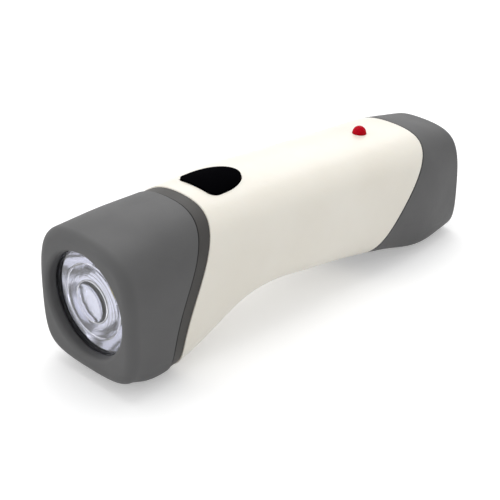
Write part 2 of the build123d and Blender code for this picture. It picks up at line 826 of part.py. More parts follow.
# ---- gears: involute teeth, in mesh at rest ------------------------------------------
def gear_face(teeth, x, place, phase):
    """Gear outline at x; phase is the angle of one tooth, counted from +Y towards +Z."""
    pitch = gear_module * teeth / 2
    slant = math.radians(pressure_angle)
    base = pitch * math.cos(slant)
    tip = pitch + gear_module
    root = pitch - dedendum * gear_module
    start = max(root, base)
    half = math.pi / (2 * teeth) - backlash / (4 * pitch) + math.tan(slant) - slant

    def corner(radius, side, tooth):
        roll = math.acos(min(1.0, base / radius))
        turn = half - (math.tan(roll) - roll)
        angle = phase + 2 * math.pi * tooth / teeth + side * turn
        return (radius * math.cos(angle), radius * math.sin(angle))

    with BuildSketch(Plane(origin=(x, *spot(place)), x_dir=(0, 1, 0), z_dir=(1, 0, 0))) as face:
        with BuildLine():
            for tooth in range(teeth):
                for side in (-1, 1):
                    flank = [corner(start + (tip - start) * k / (flank_points - 1), side, tooth)
                             for k in range(flank_points)]
                    Spline(*flank)
                    if root < base:
                        foot = corner(base, side, tooth)
                        Line((foot[0] * root / base, foot[1] * root / base), foot)
                Line(corner(tip, -1, tooth), corner(tip, 1, tooth))
                low, high = corner(start, 1, tooth), corner(start, -1, tooth + 1)
                if root < base:
                    low = (low[0] * root / base, low[1] * root / base)
                    high = (high[0] * root / base, high[1] * root / base)
                Line(low, high)
        make_face()
    return face.sketch


half_pitch = math.pi / small_teeth

with BuildPart() as crank_gear:
    extrude(gear_face(big_teeth, crank_gear_x, hub_place, math.pi), amount=crank_gear_width)
    bar(hub_place, crank_gear_end, plate_x - seat_gap, shaft_tip_radius + crank_gear_boss)
    with BuildSketch(Plane.YZ.offset(crank_gear_x)) as socket:
        with Locations(spot(hub_place)):
            RegularPolygon(hex_flats / 2 + press_gap, 6, major_radius=False)
    extrude(socket.sketch, amount=crank_gear_width, mode=Mode.SUBTRACT)
    bar(hub_place, crank_gear_end, plate_x, shaft_tip_radius + press_gap, Mode.SUBTRACT)
save(crank_gear.part, "crank_gear")

with BuildPart() as idler_gear:
    extrude(gear_face(small_teeth, idler_x, idler_place, half_pitch), amount=idler_gear_x - idler_x)
    extrude(gear_face(big_teeth, idler_gear_x, idler_place, math.pi), amount=idler_gear_width)
    bar(idler_place, idler_gear_end, plate_x - seat_gap, axle_radius + idler_boss)
    bar(idler_place, idler_x, plate_x, axle_radius + running_gap, Mode.SUBTRACT)
save(idler_gear.part, "idler_gear")

with BuildPart() as idler_axle:
    bar(idler_place, floor_x - axle_sink + face_gap, plate_end - seat_gap, axle_radius)
save(idler_axle.part, "idler_axle")

pinion_x = idler_gear_x - pinion_lead

with BuildPart() as generator_pinion:
    extrude(gear_face(small_teeth, pinion_x, generator_place, half_pitch), amount=pinion_width)
    bar(generator_place, pinion_x, pinion_x + pinion_width, motor_shaft_radius + press_gap, Mode.SUBTRACT)
save(generator_pinion.part, "generator_pinion")

# ---- generator: steel can, magnets, wound rotor with commutator, end cap -------------
can_end = plate_end + can_length
rotor_x = plate_end + rotor_stand

with BuildPart() as generator_can:
    bar(generator_place, plate_end, can_end, can_radius)
    bar(generator_place, plate_end + can_wall, can_end, can_radius - can_wall, Mode.SUBTRACT)
    bar(generator_place, plate_end - nose_length, plate_end + can_wall, nose_radius)
    bar(generator_place, plate_end - nose_length, plate_end + can_wall, nose_bush + press_gap, Mode.SUBTRACT)
    for rise in (-generator_screw_offset, generator_screw_offset):
        bar((generator_place[0], generator_place[1] + rise), plate_end, plate_end + can_wall,
            gearbox_screw_radius + press_gap, Mode.SUBTRACT)
save(generator_can.part, "generator_can")

with BuildPart() as generator_bush:
    bar(generator_place, plate_end - nose_length, plate_end + can_wall + nose_bush_stand, nose_bush)
    bar(generator_place, plate_end - nose_length, plate_end + can_wall + nose_bush_stand,
        motor_shaft_radius + running_gap, Mode.SUBTRACT)
save(generator_bush.part, "generator_bush")

with BuildPart() as generator_screws:
    for rise in (-generator_screw_offset, generator_screw_offset):
        place = (generator_place[0], generator_place[1] + rise)
        bar(place, plate_x - gearbox_screw_head_thick, plate_x, gearbox_screw_head)
        bar(place, plate_x, plate_end + can_wall, gearbox_screw_radius)
save(generator_screws.part, "generator_screws")

with BuildPart() as generator_magnets:
    magnet_x, magnet_end = plate_end + magnet_end_room, can_end - magnet_end_room
    bar(generator_place, magnet_x, magnet_end, can_radius - can_wall - running_gap)
    bar(generator_place, magnet_x, magnet_end, can_radius - can_wall - magnet_thick, Mode.SUBTRACT)
    with BuildSketch(Plane.YZ.offset(plate_end)) as split_line:
        with Locations(spot(generator_place)):
            Rectangle(magnet_split, 3 * can_radius)
    extrude(split_line.sketch, amount=can_length, mode=Mode.SUBTRACT)
save(generator_magnets.part, "generator_magnets")

rotor_plane = Plane(origin=(rotor_x, *spot(generator_place)), x_dir=(0, 1, 0), z_dir=(1, 0, 0))

with BuildPart() as rotor_core:
    with BuildSketch(rotor_plane):
        Circle(rotor_radius)
        Circle(rotor_radius - rotor_rim, mode=Mode.SUBTRACT)
        with PolarLocations(rotor_radius, rotor_poles, start_angle=180 / rotor_poles):
            Rectangle(3 * rotor_rim, rotor_slot, mode=Mode.SUBTRACT)
        Circle(rotor_hub)
        with PolarLocations(rotor_radius / 2, rotor_poles):
            Rectangle(rotor_radius - rotor_rim, rotor_neck)
        Circle(motor_shaft_radius + press_gap, mode=Mode.SUBTRACT)
    extrude(amount=rotor_length)
save(rotor_core.part, "rotor_core")

with BuildPart() as rotor_windings:
    winding_middle = rotor_hub + winding_start + winding_depth / 2
    with BuildSketch(rotor_plane.offset(-winding_overhang)):
        with PolarLocations(winding_middle, rotor_poles):
            Rectangle(winding_depth, rotor_neck + 2 * winding_thick)
    extrude(amount=rotor_length + 2 * winding_overhang)
    with BuildSketch(rotor_plane.offset(-face_gap)) as necks:
        with PolarLocations(winding_middle, rotor_poles):
            Rectangle(2 * winding_depth, rotor_neck + 2 * face_gap)
    extrude(necks.sketch, amount=rotor_length + 2 * face_gap, mode=Mode.SUBTRACT)
save(rotor_windings.part, "rotor_windings")

commutator_x = rotor_x + rotor_length + end_gap

with BuildPart() as commutator:
    bar(generator_place, commutator_x, commutator_x + commutator_length, commutator_radius)
    bar(generator_place, commutator_x, commutator_x + commutator_length,
        motor_shaft_radius + press_gap, Mode.SUBTRACT)
save(commutator.part, "commutator")

with BuildPart() as rotor_shaft:
    bar(generator_place, pinion_x - end_gap, can_end + motor_shaft_tail, motor_shaft_radius)
save(rotor_shaft.part, "rotor_shaft")

with BuildPart() as generator_end_cap:
    bar(generator_place, can_end, can_end + end_cap_thick, can_radius)
    bar(generator_place, can_end - end_cap_plug, can_end, can_radius - can_wall - press_gap)
    bar(generator_place, can_end - end_cap_plug, can_end + motor_shaft_tail + end_gap,
        motor_shaft_radius + running_gap, Mode.SUBTRACT)
save(generator_end_cap.part, "generator_end_cap")

with BuildPart() as generator_brushes:
    for side in (-1, 1):
        rise = side * (commutator_radius + brush_gap + brush_size[2] / 2)
        with BuildSketch(Plane.YZ.offset(can_end - end_cap_plug - brush_size[0])):
            with Locations(spot((generator_place[0], generator_place[1] + rise))):
                Rectangle(brush_size[1], brush_size[2])
        extrude(amount=brush_size[0])
save(generator_brushes.part, "generator_brushes")

# ---- battery: three button cells in a sleeve, strapped to the gearbox plate ----------
sleeve_radius = cell_radius + running_gap + sleeve_thick
battery_x = plate_end + seat_gap + sleeve_radius
cell_pitch = cell_length + face_gap
battery_stop = battery_start + cell_count * cell_pitch
sleeve_start, sleeve_stop = battery_start - face_gap - sleeve_lip, battery_stop + sleeve_lip


def battery_bar(start, end, radius, mode=Mode.ADD):
    """Round bar along Y on the battery's axis, its ends given from the front."""
    with BuildSketch(Plane.XZ.offset(-from_front(start))) as disc:
        with Locations((battery_x, battery_z)):
            Circle(radius)
    extrude(disc.sketch, amount=start - end, mode=mode)


with BuildPart() as battery_cells:
    for k in range(cell_count):
        near = battery_start + k * cell_pitch
        battery_bar(near, near + cell_length, cell_radius)
save(battery_cells.part, "battery_cells")

with BuildPart() as battery_sleeve:
    battery_bar(sleeve_start, sleeve_stop, sleeve_radius)
    battery_bar(battery_start - face_gap, battery_stop, cell_radius + running_gap, Mode.SUBTRACT)
    battery_bar(sleeve_start, sleeve_stop, cell_radius - sleeve_lip_wide, Mode.SUBTRACT)
save(battery_sleeve.part, "battery_sleeve")

strap_start = strap_screw_places[0][0] - strap_width / 2

with BuildPart() as battery_strap:
    battery_bar(strap_start, strap_start + strap_width, sleeve_radius + strap_gap + strap_thick)
    with BuildSketch(Plane.YZ.offset(plate_end)) as feet:
        with Locations(spot((strap_screw_places[0][0], battery_z))):
            Rectangle(strap_width, strap_screw_places[1][1] - strap_screw_places[0][1] + 2 * strap_foot)
    extrude(feet.sketch, amount=strap_thick)
    split(bisect_by=Plane.YZ.offset(plate_end), keep=Keep.TOP)
    battery_bar(strap_start, strap_start + strap_width, sleeve_radius + strap_gap, Mode.SUBTRACT)
    for place in strap_screw_places:
        bar(place, plate_end, plate_end + strap_thick, gearbox_screw_radius + hole_gap, Mode.SUBTRACT)
save(battery_strap.part, "battery_strap")

# ---- crank shaft in its bush ---------------------------------------------------------
def hex_bar(start, end, flats, mode=Mode.ADD):
    """Hexagonal bar along X on the crank's axis."""
    with BuildSketch(Plane.YZ.offset(start)) as hexagon:
        with Locations(spot(hub_place)):
            RegularPolygon(flats / 2, 6, major_radius=False)
    extrude(hexagon.sketch, amount=end - start, mode=mode)


bush_end = recess_x + bush_length
shaft_end_x = arm_x - arm_socket + face_gap

with BuildPart() as crank_shaft:
    hex_bar(shaft_end_x, crank_gear_end, hex_flats)
    bar(hub_place, recess_x - face_gap, crank_gear_x - end_gap, shaft_radius)
    bar(hub_place, crank_gear_end, plate_end - seat_gap, shaft_tip_radius)
    bar(hub_place, shaft_end_x, shaft_end_x + crank_screw_depth,
        crank_screw_radius + press_gap, Mode.SUBTRACT)
save(crank_shaft.part, "crank_shaft")

with BuildPart() as shaft_bush:
    bar(hub_place, recess_x, bush_end, bush_radius)
    bar(hub_place, recess_x, bush_end, shaft_radius + running_gap, Mode.SUBTRACT)
save(shaft_bush.part, "shaft_bush")

# ---- crank arm: a flat frame from the hub, slotted for the folded knob ---------------
arm_y = hub_place[0]
pin_y = arm_y + fold_reach

with BuildPart() as crank_arm:
    with BuildSketch(Plane.YZ.offset(arm_x)):
        with Locations(spot(hub_place)):
            Circle(arm_hub_radius)
        with Locations(spot((arm_y + arm_reach - arm_end_length / 2, hub_place[1]))):
            RectangleRounded(arm_end_length, 2 * arm_half, arm_end_corner)
        make_hull()
    extrude(amount=-arm_thick)
    fillet(faces().sort_by(Axis.X)[0].edges(), arm_edge_round)
    slot_end = arm_reach - slot_end_web
    with BuildSketch(Plane.YZ.offset(arm_x)) as slot:
        with Locations(spot((arm_y + (slot_start + slot_end) / 2, hub_place[1]))):
            RectangleRounded(slot_end - slot_start, 2 * slot_half, slot_corner)
    extrude(slot.sketch, amount=-arm_thick, mode=Mode.SUBTRACT)
    hex_bar(arm_x, arm_x - arm_socket, hex_flats + 2 * press_gap, Mode.SUBTRACT)
    bar(hub_place, arm_x, arm_top_x, crank_screw_radius + hole_gap, Mode.SUBTRACT)
    bar(hub_place, arm_top_x + screw_recess, arm_top_x, hub_cap_radius + press_gap, Mode.SUBTRACT)
    with BuildSketch(Plane.XY.offset(hub_place[1] - arm_half)) as pin_hole:
        with Locations((knob_x, from_front(pin_y))):
            Circle(fold_pin_radius + press_gap)
    extrude(pin_hole.sketch, amount=2 * arm_half, mode=Mode.SUBTRACT)
save(crank_arm.part, "crank_arm")

screw_seat_x = arm_top_x + screw_recess

with BuildPart() as crank_screw:
    bar(hub_place, screw_seat_x, screw_seat_x - crank_screw_head_thick, crank_screw_head)
    bar(hub_place, screw_seat_x, shaft_end_x + crank_screw_depth - screw_end_gap, crank_screw_radius)
save(crank_screw.part, "crank_screw")

with BuildPart() as hub_cap:
    bar(hub_place, arm_top_x, arm_top_x + hub_cap_thick, hub_cap_radius)
save(hub_cap.part, "hub_cap")

# ---- folding knob: pivot block on its pin, spindle and the turning knob --------------
with BuildPart() as fold_pin:
    upright(knob_x, pin_y, hub_place[1] - arm_half + end_gap, hub_place[1] + arm_half - end_gap,
            fold_pin_radius)
save(fold_pin.part, "fold_pin")


def knob_bar(start, end, radius, mode=Mode.ADD):
    """Round bar on the folded knob's axis, its ends given from the crank's axis."""
    with BuildSketch(Plane.XZ.offset(-from_front(arm_y + start))) as disc:
        with Locations((knob_x, hub_place[1])):
            Circle(radius)
    extrude(disc.sketch, amount=start - end, mode=mode)


knob_end = fold_reach - pivot_radius - pivot_to_knob
knob_start = knob_end - knob_length
neck_start = knob_end + seat_gap
head_start = knob_start + spindle_sink
shank_start = head_start + spindle_head

with BuildPart() as knob_pivot:
    upright(knob_x, pin_y, hub_place[1] - knob_radius, hub_place[1] + knob_radius, pivot_radius)
    knob_bar(neck_start, fold_reach, pivot_neck_radius)
    upright(knob_x, pin_y, hub_place[1] - knob_radius, hub_place[1] + knob_radius,
            fold_pin_radius + running_gap, Mode.SUBTRACT)
    knob_bar(knob_end, neck_start + spindle_grip, spindle_radius + press_gap, Mode.SUBTRACT)
save(knob_pivot.part, "knob_pivot")

with BuildPart() as knob_spindle:
    knob_bar(head_start, shank_start, spindle_head_radius)
    knob_bar(shank_start, neck_start + spindle_grip - face_gap, spindle_radius)
save(knob_spindle.part, "knob_spindle")

with BuildPart() as crank_knob:
    knob_bar(knob_start, knob_end, knob_radius)
    fillet(edges().filter_by(GeomType.CIRCLE), knob_end_round)
    with BuildSketch(Plane.XZ.offset(-from_front(arm_y + knob_start))) as flutes:
        with Locations((knob_x, hub_place[1])):
            with PolarLocations(knob_radius + flute_stand, flute_count):
                Circle(flute_radius)
    extrude(flutes.sketch, amount=-knob_length, mode=Mode.SUBTRACT)
    knob_bar(knob_start, knob_end, spindle_radius + running_gap, Mode.SUBTRACT)
    knob_bar(knob_start, shank_start + face_gap, spindle_head_radius + hole_gap, Mode.SUBTRACT)
save(crank_knob.part, "crank_knob")

# ---- screws that hold the crank cover to the casing ----------------------------------
with BuildPart() as cover_screws:
    for place in cover_screw_places:
        bar(place, cover_seat_x - cover_screw_head_thick, cover_seat_x, cover_screw_head)
        bar(place, cover_seat_x, pad_x + cover_screw_depth - screw_end_gap, cover_screw_radius)
save(cover_screws.part, "cover_screws")


# ---- wires between lamp, generator, battery, indicator and control board -------------
def lead(route):
    """Round wire along a route of straight runs joined by bends."""
    with BuildLine() as path:
        FilletPolyline(*route, radius=wire_bend)
    with BuildSketch(Plane(origin=path.line @ 0, z_dir=path.line % 0)) as section:
        Circle(wire_radius)
    sweep(section.sketch, path=path.line)


low = control_board_z - wire_radius - wire_gap
high = board_top + wire_radius + wire_gap

with BuildPart() as lamp_leads:
    for x in (-lamp_lead_x, lamp_lead_x):
        start = from_front(sink_y)
        level = lens_z + lamp_lead_rise
        lead([(x, start, level), (x, from_front(35.2), level), (x, from_front(37.2), high + 0.5),
              (x, from_front(43.5), high + 0.5), (x, from_front(46.8), high)])
save(lamp_leads.part, "lamp_leads")

with BuildPart() as generator_leads:
    for shift in (0, generator_lead_pitch):
        y = from_front(generator_place[0] + shift)
        level = generator_place[1] + generator_lead_rise
        cap_end = can_end + end_cap_thick
        outside = cap_end + generator_lead_reach
        lead([(cap_end + face_gap, y, level), (outside, y, level), (outside, y, control_board_z - face_gap)])
save(generator_leads.part, "generator_leads")

with BuildPart() as battery_leads:
    for x in battery_lead_places:
        lead([(x, from_front(sleeve_start - seat_gap), 34), (x, from_front(92), 37), (x, from_front(80), 42.8),
              (x, from_front(74), low), (x, from_front(66), low)])
save(battery_leads.part, "battery_leads")

with BuildPart() as indicator_leads:
    for x in indicator_lead_places:
        edge = indicator_y - indicator_board_length / 2
        lead([(x, from_front(edge - seat_gap), indicator_board_z + control_board_thick / 2),
              (x, from_front(116), 40.4), (x, from_front(104), 43.6), (x, from_front(80), 46.2),
              (x, from_front(68), high)])
save(indicator_leads.part, "indicator_leads")
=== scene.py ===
import math

import bmesh
import bpy
import numpy as np
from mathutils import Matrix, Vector


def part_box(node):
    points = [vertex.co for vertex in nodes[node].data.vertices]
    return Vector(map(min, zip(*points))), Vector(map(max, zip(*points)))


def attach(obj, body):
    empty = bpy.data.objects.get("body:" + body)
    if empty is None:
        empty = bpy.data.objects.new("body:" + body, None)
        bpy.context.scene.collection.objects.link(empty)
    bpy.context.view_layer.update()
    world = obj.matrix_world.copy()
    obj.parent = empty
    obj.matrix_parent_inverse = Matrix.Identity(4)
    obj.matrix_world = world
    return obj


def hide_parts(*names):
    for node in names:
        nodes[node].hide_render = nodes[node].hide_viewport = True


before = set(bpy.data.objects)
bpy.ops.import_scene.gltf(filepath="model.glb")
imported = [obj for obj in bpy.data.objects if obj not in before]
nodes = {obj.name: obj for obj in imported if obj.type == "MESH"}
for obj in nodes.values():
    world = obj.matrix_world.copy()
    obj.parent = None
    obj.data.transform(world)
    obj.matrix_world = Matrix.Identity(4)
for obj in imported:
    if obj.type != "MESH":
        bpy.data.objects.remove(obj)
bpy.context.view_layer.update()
mm = 0.001


# ---- camera ---------------------------------------------------------------------------
# Where the photograph was taken from, worked out from the outline of the body: in front
# of the lamp, to its left and above it, with a long lens.
camera_turn = math.radians(45.54)
camera_rise = math.radians(28.61)
camera_distance = 515.5 * mm
camera_aim = Vector((0, -9.38, 19.60)) * mm
image_side = 500
focal_pixels = 1495.6

lens_data = bpy.data.cameras.new("photo_camera")
lens_data.sensor_width = 36
lens_data.lens = focal_pixels * lens_data.sensor_width / image_side
lens_data.clip_start = 0.01
camera = bpy.data.objects.new("photo_camera", lens_data)
bpy.context.scene.collection.objects.link(camera)
back = Vector((math.sin(camera_turn) * math.cos(camera_rise),
               -math.cos(camera_turn) * math.cos(camera_rise),
               math.sin(camera_rise)))
camera.location = camera_aim + back * camera_distance
camera.rotation_mode = "QUATERNION"
camera.rotation_quaternion = (-back).to_track_quat("-Z", "Y")
bpy.context.scene.camera = camera
bpy.context.scene.view_settings.view_transform = "Standard"


# ---- floor, backdrop and studio light ---------------------------------------------------
# A white sheet on a table under one wide soft box, with white all round it. The sheet
# shows plain white to the camera and in gloss and glass, and keeps the lamp's shadow.
floor_half = 1.5
floor_lift = 0.32
sheet_white = (0.86, 0.86, 0.86, 1)
room_level = 0.67

floor_mesh = bpy.data.meshes.new("floor")
floor_mesh.from_pydata([(x * floor_half, y * floor_half, 0) for x, y in ((-1, -1), (1, -1), (1, 1), (-1, 1))],
                       [], [(0, 1, 2, 3)])
floor = bpy.data.objects.new("floor", floor_mesh)
bpy.context.scene.collection.objects.link(floor)


def seen_directly(tree):
    """One where a ray comes from the camera, from gloss or through glass, nothing elsewhere."""
    path = tree.nodes.new("ShaderNodeLightPath")
    either = tree.nodes.new("ShaderNodeMath")
    either.operation = "ADD"
    tree.links.new(path.outputs["Is Camera Ray"], either.inputs[0])
    tree.links.new(path.outputs["Is Glossy Ray"], either.inputs[1])
    every = tree.nodes.new("ShaderNodeMath")
    every.operation = "ADD"
    every.use_clamp = True
    tree.links.new(either.outputs[0], every.inputs[0])
    tree.links.new(path.outputs["Is Transmission Ray"], every.inputs[1])
    return every.outputs[0]


sheet = bpy.data.materials.new("white_sheet")
sheet.use_nodes = True
tree = sheet.node_tree
tree.nodes.clear()
matt = tree.nodes.new("ShaderNodeBsdfDiffuse")
matt.inputs["Color"].default_value = sheet_white
glow = tree.nodes.new("ShaderNodeEmission")
glow.inputs["Color"].default_value = (1, 1, 1, 1)
strength = tree.nodes.new("ShaderNodeMath")
strength.operation = "MULTIPLY"
strength.inputs[1].default_value = floor_lift
tree.links.new(seen_directly(tree), strength.inputs[0])
tree.links.new(strength.outputs[0], glow.inputs["Strength"])
both = tree.nodes.new("ShaderNodeAddShader")
tree.links.new(matt.outputs[0], both.inputs[0])
tree.links.new(glow.outputs[0], both.inputs[1])
output = tree.nodes.new("ShaderNodeOutputMaterial")
tree.links.new(both.outputs[0], output.inputs["Surface"])
floor_mesh.materials.append(sheet)

world = bpy.data.worlds.new("white_room")
bpy.context.scene.world = world
world.use_nodes = True
tree = world.node_tree
tree.nodes.clear()
room = tree.nodes.new("ShaderNodeBackground")
room.inputs["Color"].default_value = (1, 1, 1, 1)
level = tree.nodes.new("ShaderNodeMapRange")
level.inputs["To Min"].default_value = room_level
level.inputs["To Max"].default_value = 1
tree.links.new(seen_directly(tree), level.inputs["Value"])
tree.links.new(level.outputs["Result"], room.inputs["Strength"])
output = tree.nodes.new("ShaderNodeOutputWorld")
tree.links.new(room.outputs[0], output.inputs["Surface"])


def soft_box(name, place, aim, side, power):
    """Square lamp of that side, in metres, facing the point that it is aimed at."""
    light = bpy.data.lights.new(name, "AREA")
    light.shape = "SQUARE"
    light.size = side
    light.energy = power
    lamp = bpy.data.objects.new(name, light)
    lamp.location = place
    lamp.rotation_mode = "QUATERNION"
    lamp.rotation_quaternion = (Vector(aim) - Vector(place)).to_track_quat("-Z", "Y")
    bpy.context.scene.collection.objects.link(lamp)


soft_box("overhead_box", (-0.10, 0.05, 0.75), (0, 0, 0.02), 0.55, 2.0)
soft_box("back_box", (-0.55, 0.55, 0.62), (0, 0, 0.03), 0.80, 1.8)
soft_box("front_box", (-0.50, -0.70, 0.25), (0, -0.05, 0.02), 0.35, 1.0)


# ---- body casing and crank cover --------------------------------------------------------
# Two half shells moulded in a cream ABS that is polished in the tool. They show faint
# waves from the tool's polish, a fine haze of handling marks and a little depth of colour.
cream = (0.880, 0.845, 0.760, 1)
cream_worn = (0.845, 0.805, 0.715, 1)


def effect_group(name, inputs, outputs):
    """Empty node group with sockets of those names, and its input and output nodes."""
    group = bpy.data.node_groups.new(name, "ShaderNodeTree")
    for label, kind in inputs:
        group.interface.new_socket(label, in_out="INPUT", socket_type=kind)
    for label, kind in outputs:
        group.interface.new_socket(label, in_out="OUTPUT", socket_type=kind)
    return group, group.nodes.new("NodeGroupInput"), group.nodes.new("NodeGroupOutput")


def calculate(tree, operation, first, second):
    """Output of a Math node on two values, each a socket or a number."""
    node = tree.nodes.new("ShaderNodeMath")
    node.operation = operation
    for socket, value in zip(node.inputs, (first, second)):
        if isinstance(value, (int, float)):
            socket.default_value = value
        else:
            tree.links.new(value, socket)
    return node.outputs[0]


def noise(tree, place, scale, detail):
    """Output of a Noise Texture, its scale a socket or a number in waves per metre."""
    node = tree.nodes.new("ShaderNodeTexNoise")
    node.inputs["Detail"].default_value = detail
    tree.links.new(place, node.inputs["Vector"])
    if isinstance(scale, (int, float)):
        node.inputs["Scale"].default_value = scale
    else:
        tree.links.new(scale, node.inputs["Scale"])
    return node.outputs["Fac"]


# Moulded skin: the grain of the tool's face and slow waves of shrinkage, with a tone that
# drifts over the surface.
moulded_skin, given, put = effect_group(
    "moulded_skin",
    [("Place", "NodeSocketVector"), ("Grain per metre", "NodeSocketFloat"), ("Waves", "NodeSocketFloat")],
    [("Height", "NodeSocketFloat"), ("Tone", "NodeSocketFloat")])
grain = noise(moulded_skin, given.outputs["Place"], given.outputs["Grain per metre"], 3)
slow = noise(moulded_skin, given.outputs["Place"], 110, 1)
drift = noise(moulded_skin, given.outputs["Place"], 34, 4)
raised = calculate(moulded_skin, "MULTIPLY", slow, given.outputs["Waves"])
moulded_skin.links.new(calculate(moulded_skin, "ADD", grain, raised), put.inputs["Height"])
moulded_skin.links.new(drift, put.inputs["Tone"])

# Handling: hairline scratches in two crossing directions, and a dull bloom that comes and
# goes, both between 0 and 1.
handling, given, put = effect_group(
    "handling",
    [("Place", "NodeSocketVector")],
    [("Scratches", "NodeSocketFloat"), ("Bloom", "NodeSocketFloat")])
marks = None
for turn, stretch in ((0.5, (9000, 260, 260)), (-0.8, (7000, 200, 320))):
    mapping = handling.nodes.new("ShaderNodeMapping")
    mapping.inputs["Rotation"].default_value = (turn, turn * 0.7, turn)
    mapping.inputs["Scale"].default_value = stretch
    handling.links.new(given.outputs["Place"], mapping.inputs["Vector"])
    lines = noise(handling, mapping.outputs[0], 1.0, 0)
    ridge = calculate(handling, "GREATER_THAN", lines, 0.735)
    marks = ridge if marks is None else calculate(handling, "MAXIMUM", marks, ridge)
handling.links.new(marks, put.inputs["Scratches"])
handling.links.new(noise(handling, given.outputs["Place"], 75, 5), put.inputs["Bloom"])


def place_group(tree, group, place, **values):
    """Node of an effect group with its Place linked and its other inputs set."""
    node = tree.nodes.new("ShaderNodeGroup")
    node.node_tree = group
    tree.links.new(place, node.inputs["Place"])
    for label, value in values.items():
        node.inputs[label.replace("_", " ")].default_value = value
    return node


def between(tree, mask, low, high):
    """Value that runs from low to high as the mask runs from 0.35 to 0.65."""
    node = tree.nodes.new("ShaderNodeMapRange")
    node.inputs["From Min"].default_value = 0.35
    node.inputs["From Max"].default_value = 0.65
    node.inputs["To Min"].default_value = low
    node.inputs["To Max"].default_value = high
    tree.links.new(mask, node.inputs["Value"])
    return node.outputs["Result"]


def moulded_plastic(name, colour, worn, rough, rougher, grain, depth, waves=0.0, coat=0.0, under=0.0,
                    shine=0.5):
    """Moulded plastic: colour and gloss drift between two values, over grain of that depth."""
    material = bpy.data.materials.new(name)
    material.use_nodes = True
    tree = material.node_tree
    shader = tree.nodes["Principled BSDF"]
    place = tree.nodes.new("ShaderNodeTexCoord").outputs["Object"]
    skin = place_group(tree, moulded_skin, place, Grain_per_metre=grain, Waves=waves)
    hands = place_group(tree, handling, place)
    tint = tree.nodes.new("ShaderNodeMix")
    tint.data_type = "RGBA"
    tint.inputs["A"].default_value = colour
    tint.inputs["B"].default_value = worn
    tree.links.new(between(tree, skin.outputs["Tone"], 0, 1), tint.inputs["Factor"])
    tree.links.new(tint.outputs["Result"], shader.inputs["Base Color"])
    dull = between(tree, hands.outputs["Bloom"], rough, rougher)
    scratched = calculate(tree, "MULTIPLY", hands.outputs["Scratches"], 0.03)
    tree.links.new(calculate(tree, "ADD", dull, scratched), shader.inputs["Roughness"])
    bump = tree.nodes.new("ShaderNodeBump")
    bump.inputs["Distance"].default_value = depth
    tree.links.new(skin.outputs["Height"], bump.inputs["Height"])
    tree.links.new(bump.outputs[0], shader.inputs["Normal"])
    shader.inputs["IOR"].default_value = 1.5
    shader.inputs["Specular IOR Level"].default_value = shine
    shader.inputs["Coat Weight"].default_value = coat
    shader.inputs["Coat Roughness"].default_value = rough
    shader.inputs["Subsurface Weight"].default_value = under
    shader.inputs["Subsurface Radius"].default_value = (1.0, 0.75, 0.5)
    shader.inputs["Subsurface Scale"].default_value = 0.0012
    return material


def dress(material, *names):
    """Gives a material to the CAD nodes of those names."""
    for name in names:
        nodes[name].data.materials.clear()
        nodes[name].data.materials.append(material)


cream_plastic = moulded_plastic("cream_plastic", cream, cream_worn, 0.28, 0.32, 2600, 0.000008,
                                waves=1.2, coat=0.12, under=0.06)
dress(cream_plastic, "body_casing", "crank_cover", "crank_knob")


# ---- bezel, collar and tail cap ----------------------------------------------------------
# Grey mouldings with a spark-eroded grain that takes the shine off. The bezel and the cap
# push over tongues behind the seams, so they are all of one plastic.
grey = (0.100, 0.100, 0.101, 1)
grey_worn = (0.114, 0.114, 0.115, 1)
grey_plastic = moulded_plastic("grey_plastic", grey, grey_worn, 0.50, 0.58, 3800, 0.000040, waves=0.8,
                               shine=0.25)
dress(grey_plastic, "front_bezel", "tail_cap", "crank_arm", "hub_cap", "knob_pivot")
dark_grey_plastic = moulded_plastic("dark_grey_plastic", (0.055, 0.052, 0.050, 1), (0.066, 0.063, 0.060, 1),
                                    0.48, 0.56, 3800, 0.000040, waves=0.8, shine=0.25)
dress(dark_grey_plastic, "head_collar")


# ---- seam gaskets --------------------------------------------------------------------------
# Two rings of black rubber, cut from sheet and pinched between the mouldings: they show as
# the thin dark lines behind the bezel and before the tail cap. They stand nearer to the skin
# here than the solids do.
black_rubber = moulded_plastic("black_rubber", (0.012, 0.012, 0.013, 1), (0.022, 0.022, 0.022, 1),
                               0.6, 0.75, 5200, 0.00003, shine=0.1)
dress(black_rubber, "lens_ring")
gasket_swell = 0.55 * mm
gasket_off_table = 0.1 * mm
outward_least = 0.5
merge_gap = 1e-7
no_length = 1e-15


